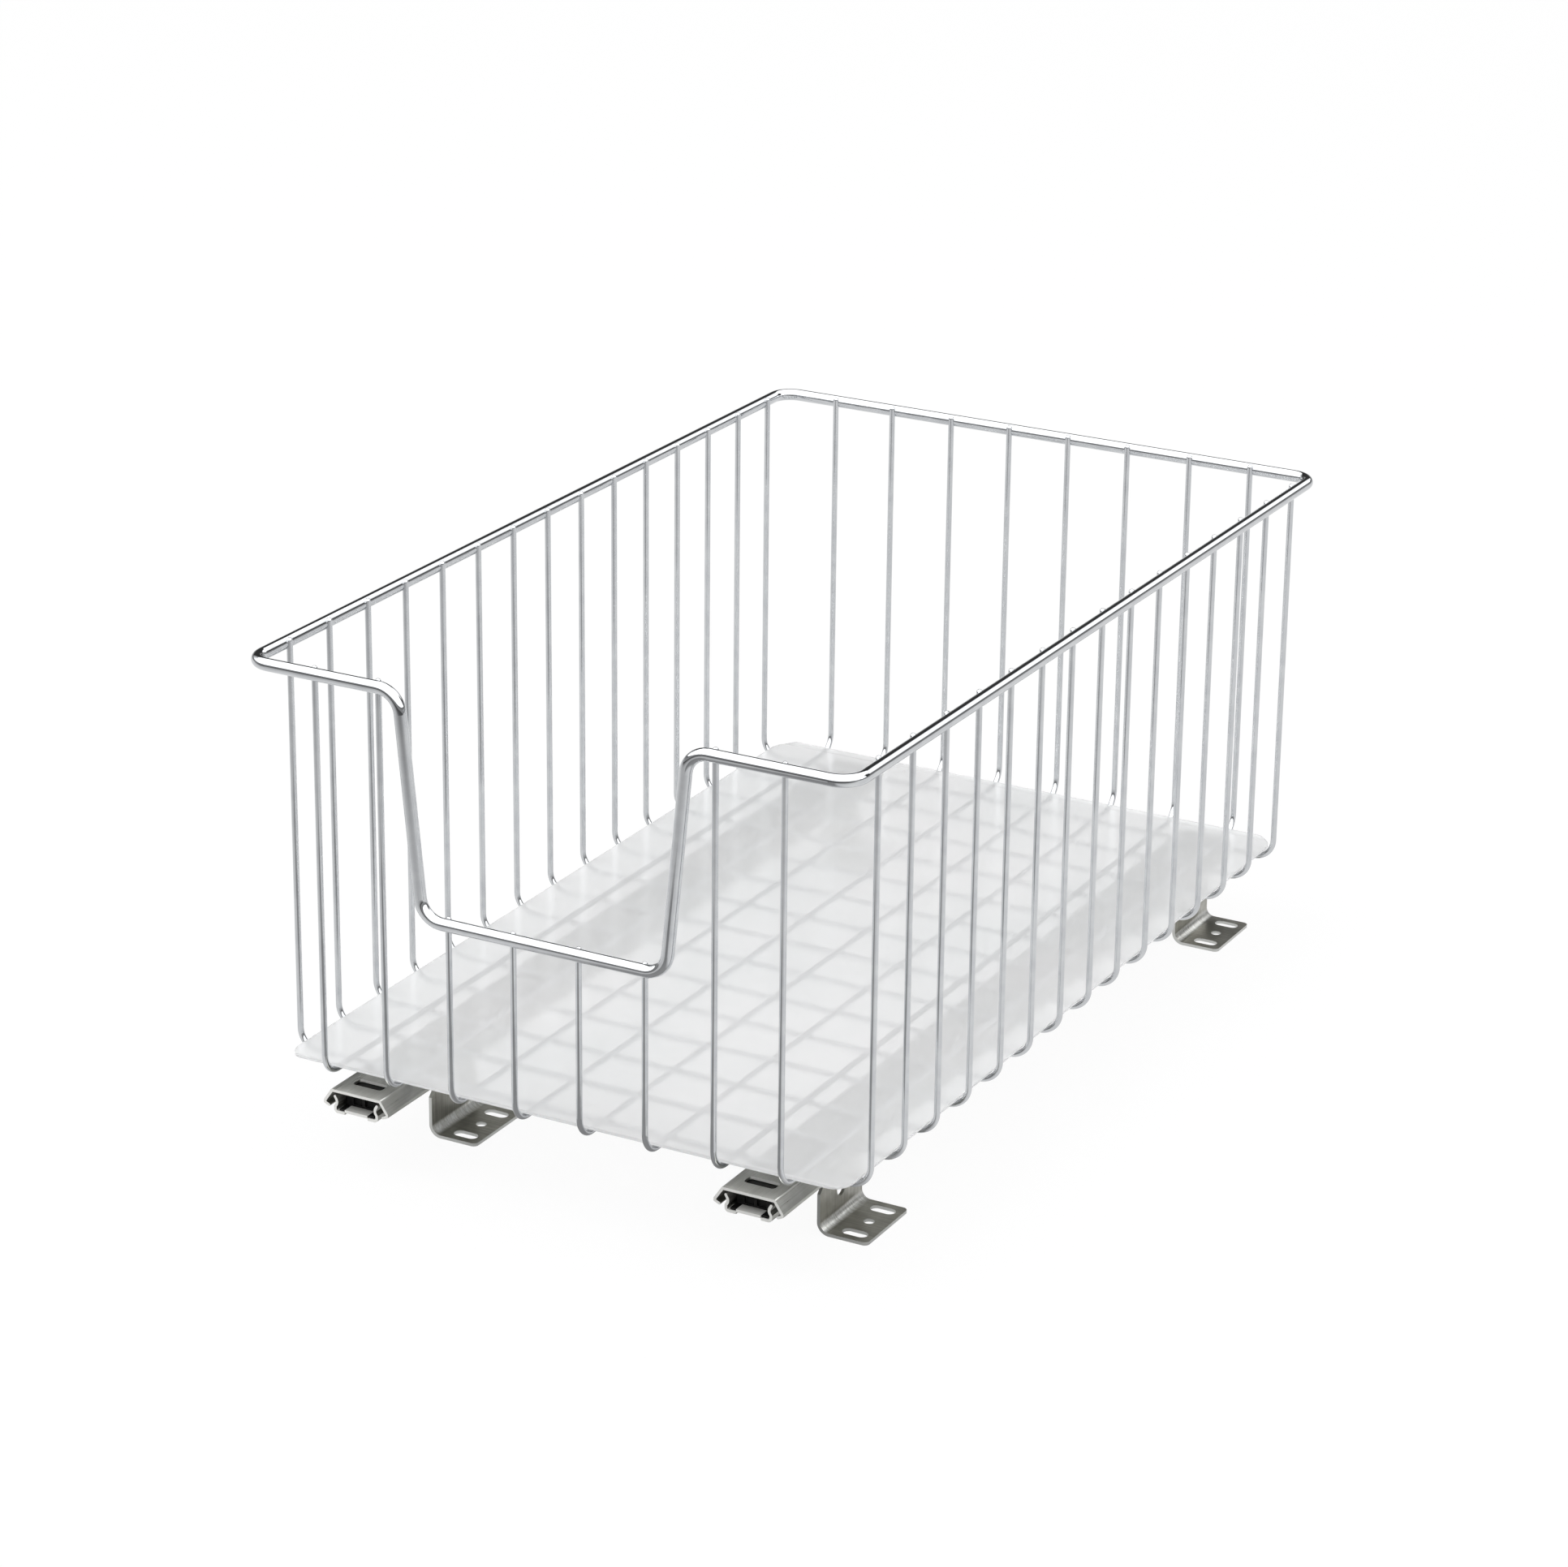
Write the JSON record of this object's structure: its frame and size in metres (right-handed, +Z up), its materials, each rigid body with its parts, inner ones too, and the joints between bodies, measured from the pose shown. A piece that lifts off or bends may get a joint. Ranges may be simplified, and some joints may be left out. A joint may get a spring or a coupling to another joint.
{
  "type": "pull-out cabinet basket",
  "caption": "Chrome wire basket with a low front dip and a frosted liner mat, riding on ball-bearing slides that stand on bent steel brackets.",
  "frame": {"origin": "middle of the bounding box in plan, at the underside of the bracket feet, basket pushed in", "axes": "+X to the right seen from the front, +Y to the back of the cabinet, +Z up; the basket pulls out towards -Y"},
  "size_m": [0.3, 0.485, 0.2329],
  "materials": {
    "wire": "bright chrome plate on steel wire",
    "mat": "frosted translucent sheet",
    "slide_steel": "zinc-plated rolled steel, satin",
    "cage_steel": "thin pressed steel, satin",
    "balls": "polished bearing steel",
    "bumper": "black moulded plastic",
    "bracket_steel": "nickel-plated bent steel, satin",
    "rivets": "plain steel"
  },
  "bodies": {
    "base": {"fixed_rail_left": "slide_steel", "fixed_rail_right": "slide_steel", "front_bumper_left": "bumper", "front_bumper_right": "bumper", "bracket_front_left": "bracket_steel", "bracket_front_right": "bracket_steel", "bracket_back_left": "bracket_steel", "bracket_back_right": "bracket_steel", "bracket_rivets": "rivets"},
    "basket": {"rim_wire": "wire", "side_wires": "wire", "tall_long_wires": "wire", "low_long_wires": "wire", "mat": "mat", "moving_rail_left": "slide_steel", "moving_rail_right": "slide_steel"},
    "cage_left": {"ball_cage_left": "cage_steel", "balls_left": "balls"},
    "cage_right": {"ball_cage_right": "cage_steel", "balls_right": "balls"}
  },
  "joints": [
    {"name": "basket_slide", "type": "slide", "parent": "base", "child": "basket", "axis": [0, -1, 0], "range_m": [0, 0.33]},
    {"name": "cage_left_slide", "type": "slide", "parent": "base", "child": "cage_left", "axis": [0, -1, 0], "range_m": [0, 0.165]},
    {"name": "cage_right_slide", "type": "slide", "parent": "base", "child": "cage_right", "axis": [0, -1, 0], "range_m": [0, 0.165]}
  ],
  "couplings": [
    {"joint": "cage_left_slide", "follows": "basket_slide", "ratio": 0.5},
    {"joint": "cage_right_slide", "follows": "basket_slide", "ratio": 0.5}
  ]
}
